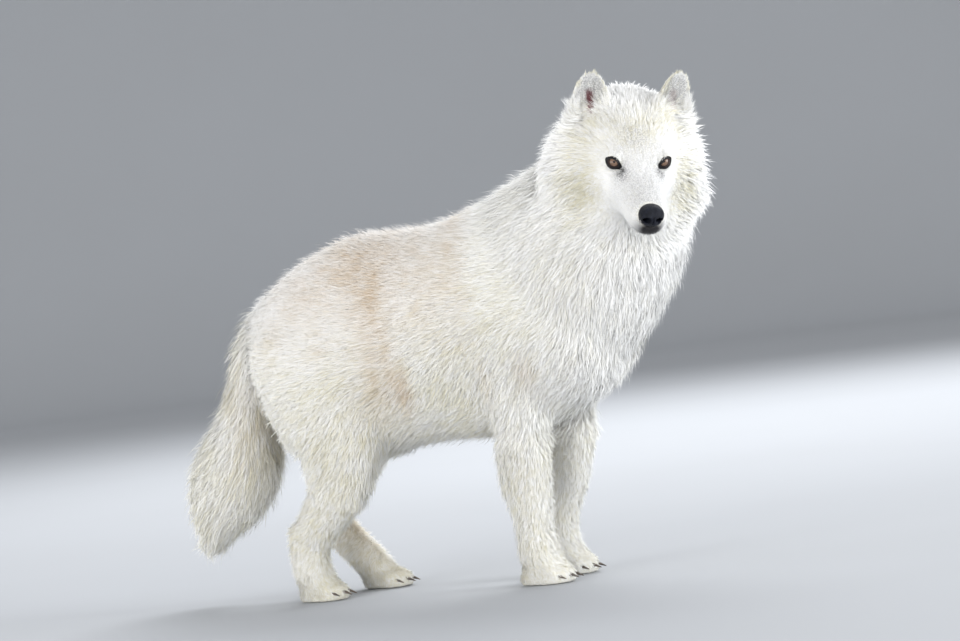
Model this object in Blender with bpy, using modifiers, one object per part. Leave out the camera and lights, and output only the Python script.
"""Arctic wolf, life size, standing with its head turned to its right.

Units are metres, +Z is up, the wolf faces +X and its left side is +Y. Every outline goes out to the
tips of the winter coat. The body is lofted whole, fused and thinned, and then parted with thin cuts
into the pieces that a person would name. The soles of the four paws are small flats at z = 0.
"""

import math
from dataclasses import dataclass

import bmesh
import bpy
import numpy as np
from mathutils import Matrix, Vector

# ---------------------------------------------------------------- driving dimensions

GAP = 0.0003  # clearance between pieces that touch
VOXEL = 0.0055  # cell of the fused surface
BODY_FACES = 4350  # triangles left on the fused body
HEAD_DETAIL = 0.003  # how strongly the head keeps its triangles
RING_POINTS = 28  # points round each lofted section
RING_STEPS = 4  # sections between two stations

HALF_EYES = 0.0470  # from the midline to an eye's centre
EYE_FORWARD = 0.012  # eye centre in front of the head's own origin
EYE_RADIUS = 0.0135
EYE_TURN = math.radians(24)  # each eye looks this far out from the head's axis

HEAD_ORIGIN = Vector((0.556, -0.130, 0.7755))  # midway between the pupils
HEAD_YAW = math.radians(-53.5)  # turned to the wolf's right
HEAD_PITCH = math.radians(25)  # nose down
HEAD_ROLL = math.radians(7)  # left ear a little lower

EAR_BASE = Vector((-0.080, 0.077, 0.040))  # in the head's frame: forward, out, up
EAR_TIP_UP = 0.137
EAR_TIP_OUT = {"right": 0.078, "left": 0.092}
EAR_TURN = {"right": math.radians(14), "left": math.radians(20)}  # opening turned outwards
EAR_HALF_WIDTH = 0.043
EAR_DEPTH = 0.036
EAR_WALL = 0.013
EAR_ARC = math.radians(95)  # half the angle that the cup goes round

NOSE_CENTRE = Vector((0.139, 0.0, -0.051))
NOSE_SIZE = Vector((0.022, 0.0235, 0.0205))  # half sizes, forward, across and up

# the ruff below a cheek and the ridge over an eye, in the head's frame: middle and half sizes
JOWL_CENTRE = Vector((-0.098, 0.098, -0.112))
JOWL_SIZE = Vector((0.060, 0.070, 0.085))
BROW_CENTRE = Vector((-0.008, 0.037, 0.012))
BROW_SIZE = Vector((0.026, 0.027, 0.018))
BROW_TURN = math.radians(35)
# the mane in the corner between the back of the head and the neck
NAPE_CENTRE = Vector((0.435, -0.030, 0.765))
NAPE_SIZE = Vector((0.110, 0.090, 0.080))
NAPE_TURN = math.radians(-40)

SOLE_OVERLAP = 0.012  # how far a paw is lofted below the floor before the flat is cut
CLAW_LENGTH = 0.024
CLAW_RADIUS = 0.0042
CLAW_SIDES = 5
HOCK_SIZE = Vector((0.020, 0.024, 0.036))  # half sizes of the point of a hock
HOCK_SINK = 0.014  # how far its centre lies in front of the tip
HOCK_TURN = math.radians(-35)
TOE_OFFSETS = (-0.030, -0.0105, 0.0105, 0.030)  # across the paw, from its middle
# along the paw from its middle, height and width, all as shares of the paw's own
PAW_ROWS = (
    (-0.50, 0.45, 0.45),
    (-0.34, 0.86, 0.80),
    (-0.05, 1.00, 0.98),
    (0.22, 0.90, 1.00),
    (0.36, 0.72, 0.86),
)
PAW_WIDTH = 0.084  # the width of the paw that the toe offsets are given for
TOE_REACH = (-0.017, 0.0, 0.0, -0.017)  # the outer toes end behind the middle ones


@dataclass(frozen=True)
class Station:
    """One oval section: its centre, half height or length, and half width."""

    x: float
    y: float
    z: float
    tall: float
    wide: float


def level(x: float, top: float, bottom: float, wide: float) -> Station:
    """A station of the trunk, from the heights of its back and its belly."""
    return Station(x, 0.0, (top + bottom) / 2, (top - bottom) / 2, wide)


TRUNK = [
    level(-0.366, 0.510, 0.440, 0.035),
    level(-0.352, 0.558, 0.405, 0.070),
    level(-0.326, 0.606, 0.352, 0.104),
    level(-0.276, 0.647, 0.300, 0.130),
    level(-0.210, 0.678, 0.272, 0.138),
    level(-0.120, 0.706, 0.258, 0.140),
    level(-0.020, 0.703, 0.277, 0.147),
    level(0.070, 0.708, 0.281, 0.153),
    level(0.150, 0.734, 0.277, 0.157),
    level(0.230, 0.745, 0.287, 0.162),
    level(0.312, 0.715, 0.314, 0.158),
    level(0.386, 0.650, 0.354, 0.135),
    level(0.430, 0.580, 0.409, 0.090),
]

NECK = [
    Station(0.180, 0.000, 0.520, 0.188, 0.150),
    Station(0.314, 0.000, 0.586, 0.202, 0.162),
    Station(0.394, -0.006, 0.648, 0.184, 0.160),
    Station(0.441, -0.016, 0.700, 0.165, 0.144),
    Station(0.468, -0.026, 0.742, 0.138, 0.116),
    Station(0.482, -0.034, 0.772, 0.105, 0.090),
]

# forward of the head's origin, top, bottom, half width
HEAD = [
    (-0.188, 0.064, -0.130, 0.098),
    (-0.165, 0.088, -0.175, 0.116),
    (-0.135, 0.096, -0.210, 0.142),
    (-0.100, 0.087, -0.218, 0.161),
    (-0.065, 0.073, -0.196, 0.148),
    (-0.032, 0.057, -0.150, 0.115),
    (-0.005, 0.041, -0.116, 0.084),
    (0.020, 0.022, -0.104, 0.063),
    (0.045, 0.004, -0.101, 0.050),
    (0.070, -0.009, -0.102, 0.042),
    (0.100, -0.020, -0.103, 0.038),
    (0.124, -0.027, -0.099, 0.035),
    (0.140, -0.034, -0.090, 0.028),
    (0.149, -0.045, -0.074, 0.014),
]

TAIL = [
    Station(-0.310, 0.000, 0.596, 0.030, 0.036),
    Station(-0.350, 0.000, 0.556, 0.042, 0.048),
    Station(-0.383, 0.000, 0.502, 0.047, 0.053),
    Station(-0.408, 0.002, 0.425, 0.051, 0.057),
    Station(-0.426, 0.004, 0.350, 0.070, 0.067),
    Station(-0.454, 0.006, 0.280, 0.092, 0.077),
    Station(-0.494, 0.008, 0.218, 0.088, 0.073),
    Station(-0.524, 0.009, 0.165, 0.060, 0.051),
    Station(-0.541, 0.010, 0.120, 0.030, 0.028),
    Station(-0.548, 0.010, 0.098, 0.010, 0.010),
]

# the near legs are the right ones; each list runs down the leg
FORE_RIGHT = [
    Station(0.190, -0.070, 0.540, 0.090, 0.062),
    Station(0.208, -0.084, 0.450, 0.082, 0.062),
    Station(0.222, -0.085, 0.380, 0.070, 0.056),
    Station(0.225, -0.081, 0.330, 0.059, 0.049),
    Station(0.223, -0.078, 0.280, 0.053, 0.043),
    Station(0.218, -0.076, 0.195, 0.054, 0.037),
    Station(0.224, -0.076, 0.137, 0.041, 0.036),
    Station(0.224, -0.076, 0.098, 0.038, 0.035),
    Station(0.229, -0.077, 0.060, 0.039, 0.037),
    Station(0.236, -0.078, 0.030, 0.043, 0.040),
    Station(0.238, -0.078, 0.008, 0.040, 0.038),
]
FORE_LEFT = [
    Station(0.195, 0.070, 0.540, 0.090, 0.062),
    Station(0.215, 0.084, 0.450, 0.082, 0.062),
    Station(0.236, 0.084, 0.380, 0.070, 0.056),
    Station(0.245, 0.079, 0.330, 0.060, 0.049),
    Station(0.245, 0.075, 0.280, 0.055, 0.043),
    Station(0.226, 0.072, 0.195, 0.053, 0.037),
    Station(0.209, 0.071, 0.137, 0.041, 0.036),
    Station(0.202, 0.071, 0.098, 0.038, 0.035),
    Station(0.202, 0.071, 0.060, 0.039, 0.037),
    Station(0.208, 0.071, 0.030, 0.043, 0.040),
    Station(0.212, 0.071, 0.008, 0.040, 0.038),
]
HIND_RIGHT = [
    Station(-0.215, -0.055, 0.555, 0.080, 0.050),
    Station(-0.222, -0.078, 0.500, 0.124, 0.074),
    Station(-0.208, -0.088, 0.430, 0.122, 0.074),
    Station(-0.190, -0.093, 0.365, 0.116, 0.066),
    Station(-0.170, -0.094, 0.305, 0.100, 0.057),
    Station(-0.174, -0.092, 0.245, 0.078, 0.048),
    Station(-0.202, -0.089, 0.192, 0.057, 0.041),
    Station(-0.238, -0.087, 0.150, 0.046, 0.037),
    Station(-0.265, -0.086, 0.115, 0.043, 0.035),
    Station(-0.268, -0.086, 0.078, 0.041, 0.035),
    Station(-0.262, -0.086, 0.045, 0.040, 0.037),
    Station(-0.254, -0.086, 0.015, 0.040, 0.038),
]
HIND_LEFT = [
    Station(-0.215, 0.055, 0.555, 0.080, 0.050),
    Station(-0.232, 0.078, 0.500, 0.116, 0.072),
    Station(-0.230, 0.086, 0.430, 0.112, 0.071),
    Station(-0.230, 0.090, 0.365, 0.102, 0.064),
    Station(-0.232, 0.091, 0.305, 0.086, 0.056),
    Station(-0.252, 0.089, 0.252, 0.067, 0.047),
    Station(-0.282, 0.087, 0.208, 0.050, 0.040),
    Station(-0.308, 0.085, 0.172, 0.041, 0.035),
    Station(-0.306, 0.084, 0.138, 0.038, 0.033),
    Station(-0.274, 0.084, 0.100, 0.036, 0.033),
    Station(-0.238, 0.084, 0.062, 0.036, 0.035),
    Station(-0.214, 0.084, 0.030, 0.038, 0.038),
]


@dataclass(frozen=True)
class Heel:
    """Where the tip of a hock's point is."""

    x: float
    y: float
    z: float


@dataclass(frozen=True)
class Paw:
    """A paw: where its middle stands, and how long, wide and high it is."""

    x: float
    y: float
    long: float
    wide: float
    high: float


HOCKS = {"right": Heel(-0.302, -0.086, 0.124), "left": Heel(-0.345, 0.084, 0.166)}
PAWS = {
    "fore_right": Paw(0.243, -0.079, 0.112, 0.084, 0.047),
    "fore_left": Paw(0.217, 0.072, 0.112, 0.084, 0.047),
    "hind_right": Paw(-0.244, -0.087, 0.104, 0.078, 0.043),
    "hind_left": Paw(-0.196, 0.084, 0.104, 0.078, 0.043),
}

HALF_BODY = 0.200  # from the midline to past the widest part of a side
HEAD_CUT_YAW, HEAD_CUT_RISE = math.radians(-40), math.radians(28)


@dataclass(frozen=True)
class Cut:
    """A plane that parts a piece off: a point on it, the way to the piece and the cutter's reach."""

    point: tuple
    normal: tuple
    reach: tuple

    def on(self, side: int) -> "Cut":
        """The same cut on one side of the body."""
        return Cut((self.point[0], side * self.point[1], self.point[2]), self.normal, self.reach)


DOWN = (0, 0, -1)
HEAD_CUT = Cut(
    (0.478, -0.045, 0.745),
    (
        math.cos(HEAD_CUT_YAW) * math.cos(HEAD_CUT_RISE),
        math.sin(HEAD_CUT_YAW) * math.cos(HEAD_CUT_RISE),
        math.sin(HEAD_CUT_RISE),
    ),
    (0.40, 0.30, 0.27),
)
NECK_CUT = Cut((0.295, 0.0, 0.600), (0.82, 0.0, 0.57), (0.45, 0.30, 0.32))
TAIL_CUT = Cut((-0.357, 0.0, 0.345), (-1.0, 0.0, 0.02), (0.40, 0.13, 0.285))
ELBOW_CUT = Cut((0.233, HALF_BODY + GAP / 2, 0.274), DOWN, (0.50, HALF_BODY, 0.095))
WRIST_CUT = Cut((0.23, 0.08, 0.058), DOWN, (0.2, 0.2, 0.2))
KNEE_CUTS = {
    "right": Cut((-0.190, HALF_BODY + GAP / 2, 0.222), (-0.60, 0, -0.80), (0.40, HALF_BODY, 0.30)),
    "left": Cut((-0.268, HALF_BODY + GAP / 2, 0.232), (-0.60, 0, -0.80), (0.40, HALF_BODY, 0.30)),
}
HEEL_CUT = Cut((-0.22, 0.08, 0.055), DOWN, (0.2, 0.2, 0.2))
HIP_CUT = Cut((-0.2445, HALF_BODY + GAP / 2, 0.415), (-0.32, 0, -0.95), (0.60, HALF_BODY, 0.21))

# colour and roughness of each finish
COAT = ((0.84, 0.79, 0.70), 0.9)
FINISHES = {
    "nose": ((0.035, 0.036, 0.042), 0.45),
    "eye": ((0.34, 0.17, 0.06), 0.12),
    "claw": ((0.07, 0.055, 0.045), 0.4),
}


# ---------------------------------------------------------------- frames and materials


def head_matrix() -> Matrix:
    """The head's own frame, with X along the muzzle, Y to the wolf's left and Z up."""
    turn = Matrix.Rotation(HEAD_YAW, 4, "Z") @ Matrix.Rotation(HEAD_PITCH, 4, "Y")
    return Matrix.Translation(HEAD_ORIGIN) @ turn @ Matrix.Rotation(HEAD_ROLL, 4, "X").inverted()


def make_material(name: str, colour: tuple, roughness: float) -> bpy.types.Material:
    """A plain Principled material."""
    material = bpy.data.materials.new(name)
    material.use_nodes = True
    shader = material.node_tree.nodes["Principled BSDF"]
    shader.inputs["Base Color"].default_value = (*colour, 1.0)
    shader.inputs["Roughness"].default_value = roughness
    shader.inputs["Metallic"].default_value = 0.0
    return material


def link(obj: bpy.types.Object, collection: bpy.types.Collection) -> bpy.types.Object:
    """Puts an object in one collection and in no other."""
    for old in list(obj.users_collection):
        old.objects.unlink(obj)
    collection.objects.link(obj)
    return obj


def from_bmesh(name: str, bm: bmesh.types.BMesh, collection: bpy.types.Collection) -> bpy.types.Object:
    """Makes an object of a bmesh whose faces are turned outwards first."""
    bmesh.ops.recalc_face_normals(bm, faces=bm.faces)
    mesh = bpy.data.meshes.new(name)
    bm.to_mesh(mesh)
    bm.free()
    return link(bpy.data.objects.new(name, mesh), collection)


def settle(obj: bpy.types.Object) -> None:
    """Turns an object's modifiers into plain mesh."""
    graph = bpy.context.evaluated_depsgraph_get()
    old = obj.data
    obj.data = bpy.data.meshes.new_from_object(obj.evaluated_get(graph))
    obj.modifiers.clear()
    bpy.data.meshes.remove(old)


# ---------------------------------------------------------------- lofts


def smooth_rows(rows: np.ndarray, steps: int) -> np.ndarray:
    """Rows of numbers read off a Catmull-Rom curve through the given ones."""
    padded = np.vstack([2 * rows[0] - rows[1], rows, 2 * rows[-1] - rows[-2]])
    out = []
    for i in range(1, len(padded) - 2):
        a, b, c, d = padded[i - 1 : i + 3]
        for t in np.arange(steps) / steps:
            out.append(
                b + 0.5 * ((c - a) * t + (2 * a - 5 * b + 4 * c - d) * t**2 + (3 * b - a - 3 * c + d) * t**3)
            )
    out.append(rows[-1])
    return np.array(out)


def skin_rings(bm: bmesh.types.BMesh, rings: list) -> None:
    """Joins rings of points into a closed tube with flat ends."""
    verts = [[bm.verts.new(p) for p in ring] for ring in rings]
    count = len(verts[0])
    for low, high in zip(verts, verts[1:]):
        for i in range(count):
            j = (i + 1) % count
            bm.faces.new((low[i], low[j], high[j], high[i]))
    bm.faces.new(verts[0])
    bm.faces.new(list(reversed(verts[-1])))


def loft(stations: list, tall_axis: Vector, square_to: Vector | None = None) -> bmesh.types.BMesh:
    """A tube of oval sections, square to the path or to a fixed axis. 'tall' follows tall_axis."""
    rows = np.array([(s.x, s.y, s.z, s.tall, s.wide) for s in stations])
    rows = smooth_rows(rows, RING_STEPS)
    centres = [Vector(r[:3]) for r in rows]
    angles = 2 * math.pi * np.arange(RING_POINTS) / RING_POINTS
    rings = []
    for i, row in enumerate(rows):
        step = centres[min(i + 1, len(rows) - 1)] - centres[max(i - 1, 0)]
        ahead = square_to or step.normalized()
        side = ahead.cross(tall_axis).normalized()
        tall = side.cross(ahead).normalized()
        rings.append([centres[i] + tall * row[3] * math.cos(a) + side * row[4] * math.sin(a) for a in angles])
    bm = bmesh.new()
    skin_rings(bm, rings)
    return bm


def ellipsoid(centre: Vector, half: Vector, turn: Matrix = Matrix.Identity(4)) -> bmesh.types.BMesh:
    """A sphere stretched to three half sizes, turned and placed."""
    bm = bmesh.new()
    place = Matrix.Translation(centre) @ turn @ Matrix.Diagonal((*half, 1.0))
    bmesh.ops.create_uvsphere(bm, u_segments=20, v_segments=12, radius=1.0, matrix=place)
    return bm


def head_shell() -> bmesh.types.BMesh:
    """Skull, cheeks and muzzle as one loft along the head's own axis."""
    stations = [Station(s, 0.0, (top + low) / 2, (top - low) / 2, wide) for s, top, low, wide in HEAD]
    return on_head(loft(stations, Vector((0, 0, 1)), Vector((1, 0, 0))))


def on_head(bm: bmesh.types.BMesh) -> bmesh.types.BMesh:
    """Moves a shell from the head's own frame into place."""
    bmesh.ops.transform(bm, matrix=head_matrix(), verts=bm.verts)
    return bm


def jowl(side: int) -> bmesh.types.BMesh:
    """The ruff of long fur below a cheek."""
    return on_head(ellipsoid(JOWL_CENTRE * Vector((1, side, 1)), JOWL_SIZE))


def nape() -> bmesh.types.BMesh:
    """The mane that fills the corner between the back of the head and the neck."""
    return ellipsoid(NAPE_CENTRE, NAPE_SIZE, Matrix.Rotation(NAPE_TURN, 4, "Y"))


def brow(side: int) -> bmesh.types.BMesh:
    """The ridge over an eye."""
    turn = Matrix.Rotation(side * BROW_TURN, 4, "Z")
    return on_head(ellipsoid(BROW_CENTRE * Vector((1, side, 1)), BROW_SIZE, turn))


def ear_shell(name: str, side: int, extra: float, collection) -> bpy.types.Object:
    """A cupped ear: crescent sections that narrow to a rounded tip. extra swells it for its bed."""
    base = Vector((EAR_BASE.x, side * EAR_BASE.y, EAR_BASE.z))
    tip = Vector((EAR_BASE.x - 0.012, side * EAR_TIP_OUT[name], EAR_TIP_UP))
    along = (tip - base).normalized()
    back = Matrix.Rotation(side * EAR_TURN[name], 3, "Z") @ Vector((-1, 0, 0))
    back = (back - along * back.dot(along)).normalized()
    across = along.cross(back)
    rings = []
    for t in (0.0, 0.20, 0.40, 0.60, 0.76, 0.88, 0.96, 1.0):
        spread = max((1 - t**5) ** 0.5 * (1.0 - 0.30 * t), 0.16)
        width = EAR_HALF_WIDTH * spread
        depth = EAR_DEPTH * spread * (1 - 0.35 * t)
        wall = min(EAR_WALL, depth * 0.7, width * 0.6)
        centre = base + (tip - base) * t - along * (extra if t == 0.0 else 0.0)
        arc = np.linspace(-1, 1, 8) * (EAR_ARC + 1.5 * extra / depth)
        ring = []
        for grow, angles in ((extra, arc), (-wall - extra, reversed(arc))):
            wide, deep = width + grow, depth + grow
            ring += [centre + across * wide * math.sin(a) + back * deep * math.cos(a) for a in angles]
        rings.append(ring)
    bm = bmesh.new()
    skin_rings(bm, rings)
    bmesh.ops.transform(bm, matrix=head_matrix(), verts=bm.verts)
    return from_bmesh(f"ear_{name}", bm, collection)


def paw_shell(paw: Paw) -> bmesh.types.BMesh:
    """A paw's body, low and long, reaching below the floor so that its sole can be cut flat."""
    middle = (paw.high - SOLE_OVERLAP) / 2
    half = (paw.high + SOLE_OVERLAP) / 2
    stations = [
        Station(paw.x + along * paw.long, paw.y, middle * tall, half * tall, paw.wide / 2 * wide)
        for along, tall, wide in PAW_ROWS
    ]
    return loft(stations, Vector((0, 0, 1)), Vector((1, 0, 0)))


def toe(paw: Paw, index: int) -> bmesh.types.BMesh:
    """One toe, a rounded lobe at the front of the paw."""
    reach = paw.x + paw.long / 2 + TOE_REACH[index] - 0.024
    centre = Vector((reach, paw.y + TOE_OFFSETS[index] * paw.wide / PAW_WIDTH, paw.high * 0.33))
    return ellipsoid(centre, Vector((0.026, 0.0135, paw.high * 0.50)))


# ---------------------------------------------------------------- the whole body


def fuse(shells: list, collection: bpy.types.Collection) -> bpy.types.Object:
    """Fuses closed shells into one smooth surface and thins it."""
    whole = bmesh.new()
    for shell in shells:
        mesh = bpy.data.meshes.new("shell")
        bmesh.ops.recalc_face_normals(shell, faces=shell.faces)
        shell.to_mesh(mesh)
        shell.free()
        whole.from_mesh(mesh)
        bpy.data.meshes.remove(mesh)
    body = from_bmesh("body", whole, collection)
    remesh = body.modifiers.new("fuse", "REMESH")
    remesh.mode = "VOXEL"
    remesh.voxel_size = VOXEL
    soften = body.modifiers.new("soften", "SMOOTH")
    soften.factor = 0.5
    soften.iterations = 8
    settle(body)
    faces = sum(len(p.vertices) - 2 for p in body.data.polygons)
    finer = body.vertex_groups.new(name="head")
    into_head = head_matrix().inverted()
    for vertex in body.data.vertices:
        local = into_head @ vertex.co
        on_head = local.x > -0.12 and local.length < 0.24
        finer.add([vertex.index], 0.5 if on_head else 1.0, "REPLACE")
    thin = body.modifiers.new("thin", "DECIMATE")
    thin.ratio = BODY_FACES / faces
    thin.use_collapse_triangulate = True
    thin.vertex_group = finer.name
    thin.vertex_group_factor = HEAD_DETAIL
    settle(body)
    body.vertex_groups.clear()
    return body


def boolean(obj: bpy.types.Object, cutter: bpy.types.Object, operation: str) -> None:
    """Cuts an object with a closed cutter, keeping the exact solver."""
    change = obj.modifiers.new("cut", "BOOLEAN")
    change.operation = operation
    change.solver = "EXACT"
    change.object = cutter
    settle(obj)


def copy_of(obj: bpy.types.Object, name: str, collection: bpy.types.Collection) -> bpy.types.Object:
    """A second object with its own mesh."""
    twin = bpy.data.objects.new(name, obj.data.copy())
    return link(twin, collection)


def hide(obj: bpy.types.Object) -> bpy.types.Object:
    """Marks a cutter as one."""
    obj.hide_render = True
    obj.display_type = "WIRE"
    return obj


def box_cutter(name: str, low: Vector, high: Vector, collection) -> bpy.types.Object:
    """A closed box between two corners."""
    bm = bmesh.new()
    place = Matrix.Translation((low + high) / 2) @ Matrix.Diagonal((*(high - low), 1.0))
    bmesh.ops.create_cube(bm, size=1.0, matrix=place)
    return hide(from_bmesh(name, bm, collection))


def plane_matrix(point: Vector, normal: Vector) -> Matrix:
    """A frame whose X axis is a plane's normal. Its Z axis is as upright as it can be, or forward."""
    normal = normal.normalized()
    lead = Vector((0, 0, 1)) if abs(normal.z) < 0.9 else Vector((1, 0, 0))
    side = normal.cross(lead).normalized()
    up = side.cross(normal)
    return Matrix.Translation(point) @ Matrix((normal, -side, up)).transposed().to_4x4()


def part_off(body, name: str, point: Vector, normal: Vector, reach: Vector, parts, cutters):
    """Parts off what lies beyond a plane, inside a box of the given reach behind it.

    The box starts at the plane and runs along its normal by reach.x; reach.y and reach.z are its half
    width and half height. Returns the piece, and leaves the rest in body with a thin gap between them.
    """
    frame = plane_matrix(point, normal)
    pieces = []
    for extra in (0.0, GAP):
        bm = bmesh.new()
        half = Matrix.Diagonal((reach.x + 2 * extra, 2 * (reach.y + extra), 2 * (reach.z + extra), 1.0))
        bmesh.ops.create_cube(bm, size=1.0, matrix=frame @ Matrix.Translation((reach.x / 2, 0, 0)) @ half)
        pieces.append(hide(from_bmesh(f"{name}_cut_{len(pieces)}", bm, cutters)))
    piece = copy_of(body, name, parts)
    boolean(piece, pieces[0], "INTERSECT")
    boolean(body, pieces[1], "DIFFERENCE")
    return piece


# ---------------------------------------------------------------- small pieces


def eye_frame(side: int) -> Matrix:
    """An eye's frame: X looks out of the head."""
    centre = Matrix.Translation((EYE_FORWARD, side * HALF_EYES, 0.0))
    return head_matrix() @ centre @ Matrix.Rotation(side * EYE_TURN, 4, "Z")


def ball(name: str, frame: Matrix, half: Vector, collection, segments: int = 14) -> bpy.types.Object:
    """A rounded solid of three half sizes in a given frame."""
    bm = bmesh.new()
    place = frame @ Matrix.Diagonal((*half, 1.0))
    bmesh.ops.create_uvsphere(bm, u_segments=segments, v_segments=segments // 2, radius=1.0, matrix=place)
    return from_bmesh(name, bm, collection)


def set_eye(head, name: str, side: int, parts, cutters) -> bpy.types.Object:
    """An eyeball in a socket, with the opening between the lids cut in front of it."""
    frame = eye_frame(side)
    eye = ball(name, frame, Vector((EYE_RADIUS,) * 3), parts)
    socket = hide(ball(f"{name}_socket", frame, Vector((EYE_RADIUS + GAP,) * 3), cutters))
    opening = hide(
        ball(
            f"{name}_opening",
            frame @ Matrix.Translation((0.024, -side * 0.001, 0.0)),
            Vector((0.020, 0.0150, 0.0085)),
            cutters,
        )
    )
    boolean(head, opening, "DIFFERENCE")
    boolean(head, socket, "DIFFERENCE")
    return eye


def set_nose(muzzle, parts, cutters) -> bpy.types.Object:
    """The nose pad, bedded in the end of the muzzle."""
    frame = head_matrix() @ Matrix.Translation(NOSE_CENTRE)
    nose = ball("nose", frame, NOSE_SIZE, parts)
    bed = hide(ball("nose_bed", frame, NOSE_SIZE + Vector((GAP,) * 3), cutters))
    for side in (-1, 1):
        nostril = hide(
            ball(
                f"nostril_{'right' if side < 0 else 'left'}",
                frame @ Matrix.Translation((0.0195, side * 0.0105, -0.004)),
                Vector((0.0075, 0.0050, 0.0042)),
                cutters,
                8,
            )
        )
        boolean(nose, nostril, "DIFFERENCE")
    boolean(muzzle, bed, "DIFFERENCE")
    return nose


def claw_mesh(name: str, paw: Paw, index: int, extra: float, collection) -> bpy.types.Object:
    """One claw, a tapered curve down to just above the floor. extra swells it for its bed."""
    start = Vector(
        (
            paw.x + paw.long / 2 + TOE_REACH[index] - 0.012,
            paw.y + TOE_OFFSETS[index] * paw.wide / PAW_WIDTH,
            0.0165,
        )
    )
    rings = []
    for t in (0.0, 0.5, 1.0):
        bend = math.radians(8 + 34 * t)
        centre = start + Vector((CLAW_LENGTH * t, 0, -CLAW_LENGTH * 0.30 * t**1.6))
        across = Vector((0, 1, 0))
        up = Vector((math.sin(bend), 0, math.cos(bend)))
        radius = CLAW_RADIUS * (1 - 0.80 * t**1.3) + extra
        if extra and t == 0.0:
            centre.x -= extra
        ring = [2 * math.pi * k / CLAW_SIDES for k in range(CLAW_SIDES)]
        rings.append([centre + (across * math.cos(a) * 0.8 + up * math.sin(a)) * radius for a in ring])
    bm = bmesh.new()
    skin_rings(bm, rings)
    return from_bmesh(name, bm, collection)


def set_claws(paw_piece, key: str, parts, cutters) -> list:
    """The four claws of a paw, each in its bed."""
    claws = []
    for index in range(4):
        name = f"claw_{key}_{index + 1}"
        claws.append(claw_mesh(name, PAWS[key], index, 0.0, parts))
        bed = hide(claw_mesh(f"{name}_bed", PAWS[key], index, GAP, cutters))
        boolean(paw_piece, bed, "DIFFERENCE")
    return claws


# ---------------------------------------------------------------- assembly


def body_shells() -> list:
    """Every closed shell that the body is fused from."""
    up, along = Vector((0, 0, 1)), Vector((1, 0, 0))
    shells = [loft(TRUNK, up, along), loft(NECK, up), loft(TAIL, along), head_shell()]
    shells += [loft(leg, along) for leg in (FORE_RIGHT, FORE_LEFT, HIND_RIGHT, HIND_LEFT)]
    turn = Matrix.Rotation(HOCK_TURN, 4, "Y")
    for hock in HOCKS.values():
        shells.append(ellipsoid(Vector((hock.x + HOCK_SINK, hock.y, hock.z)), HOCK_SIZE, turn))
    shells.append(nape())
    shells += [shape(side) for side in (-1, 1) for shape in (brow, jowl)]
    for paw in PAWS.values():
        shells.append(paw_shell(paw))
        shells += [toe(paw, index) for index in range(4)]
    return shells


def part_body(body, parts, cutters) -> dict:
    """Parts the whole body into named pieces with thin cuts. What is left is the trunk."""
    pieces = {}

    def off(source, name: str, cut: Cut) -> None:
        where = (Vector(cut.point), Vector(cut.normal), Vector(cut.reach))
        pieces[name] = part_off(source, name, *where, parts, cutters)

    off(body, "head", HEAD_CUT)
    off(body, "neck", NECK_CUT)
    off(body, "tail", TAIL_CUT)
    for side, name in ((-1, "right"), (1, "left")):
        off(body, f"fore_leg_{name}", ELBOW_CUT.on(side))
        off(pieces[f"fore_leg_{name}"], f"fore_paw_{name}", WRIST_CUT.on(side))
        off(body, f"hind_leg_{name}", KNEE_CUTS[name].on(side))
        off(pieces[f"hind_leg_{name}"], f"hind_paw_{name}", HEEL_CUT.on(side))
        off(body, f"thigh_{name}", HIP_CUT.on(side))
    return pieces


def finish(parts: bpy.types.Collection) -> None:
    """Gives each piece its own material and stands the wolf with its middle over the origin."""
    corners = np.array([v.co for obj in parts.objects for v in obj.data.vertices])
    low, high = corners.min(axis=0), corners.max(axis=0)
    shift = Matrix.Translation((-(low[0] + high[0]) / 2, -(low[1] + high[1]) / 2, -low[2]))
    for obj in parts.objects:
        obj.data.transform(shift)
        colour, roughness = FINISHES.get(obj.name.split("_")[0], COAT)
        obj.data.materials.clear()
        obj.data.materials.append(make_material(f"{obj.name}_finish", colour, roughness))


def main() -> None:
    """Builds the wolf."""
    for old in list(bpy.data.objects):
        bpy.data.objects.remove(old, do_unlink=True)
    parts = bpy.data.collections.new("arctic_wolf")
    cutters = bpy.data.collections.new("cutters")
    bpy.context.scene.collection.children.link(parts)
    bpy.context.scene.collection.children.link(cutters)
    body = fuse(body_shells(), parts)
    body.name = "trunk"
    pieces = part_body(body, parts, cutters)
    for side, name in ((-1, "right"), (1, "left")):
        ear_shell(name, side, 0.0, parts)
        bed = hide(ear_shell(name, side, GAP, cutters))
        bed.name = f"ear_{name}_bed"
        boolean(pieces["head"], bed, "DIFFERENCE")
        set_eye(pieces["head"], f"eye_{name}", side, parts, cutters)
    set_nose(pieces["head"], parts, cutters)
    below = box_cutter("below_floor", Vector((-0.6, -0.4, -0.1)), Vector((0.6, 0.4, 0.0)), cutters)
    for key in PAWS:
        place, side = key.split("_")
        paw = pieces[f"{place}_paw_{side}"]
        boolean(paw, below, "DIFFERENCE")
        set_claws(paw, key, parts, cutters)
    finish(parts)


main()
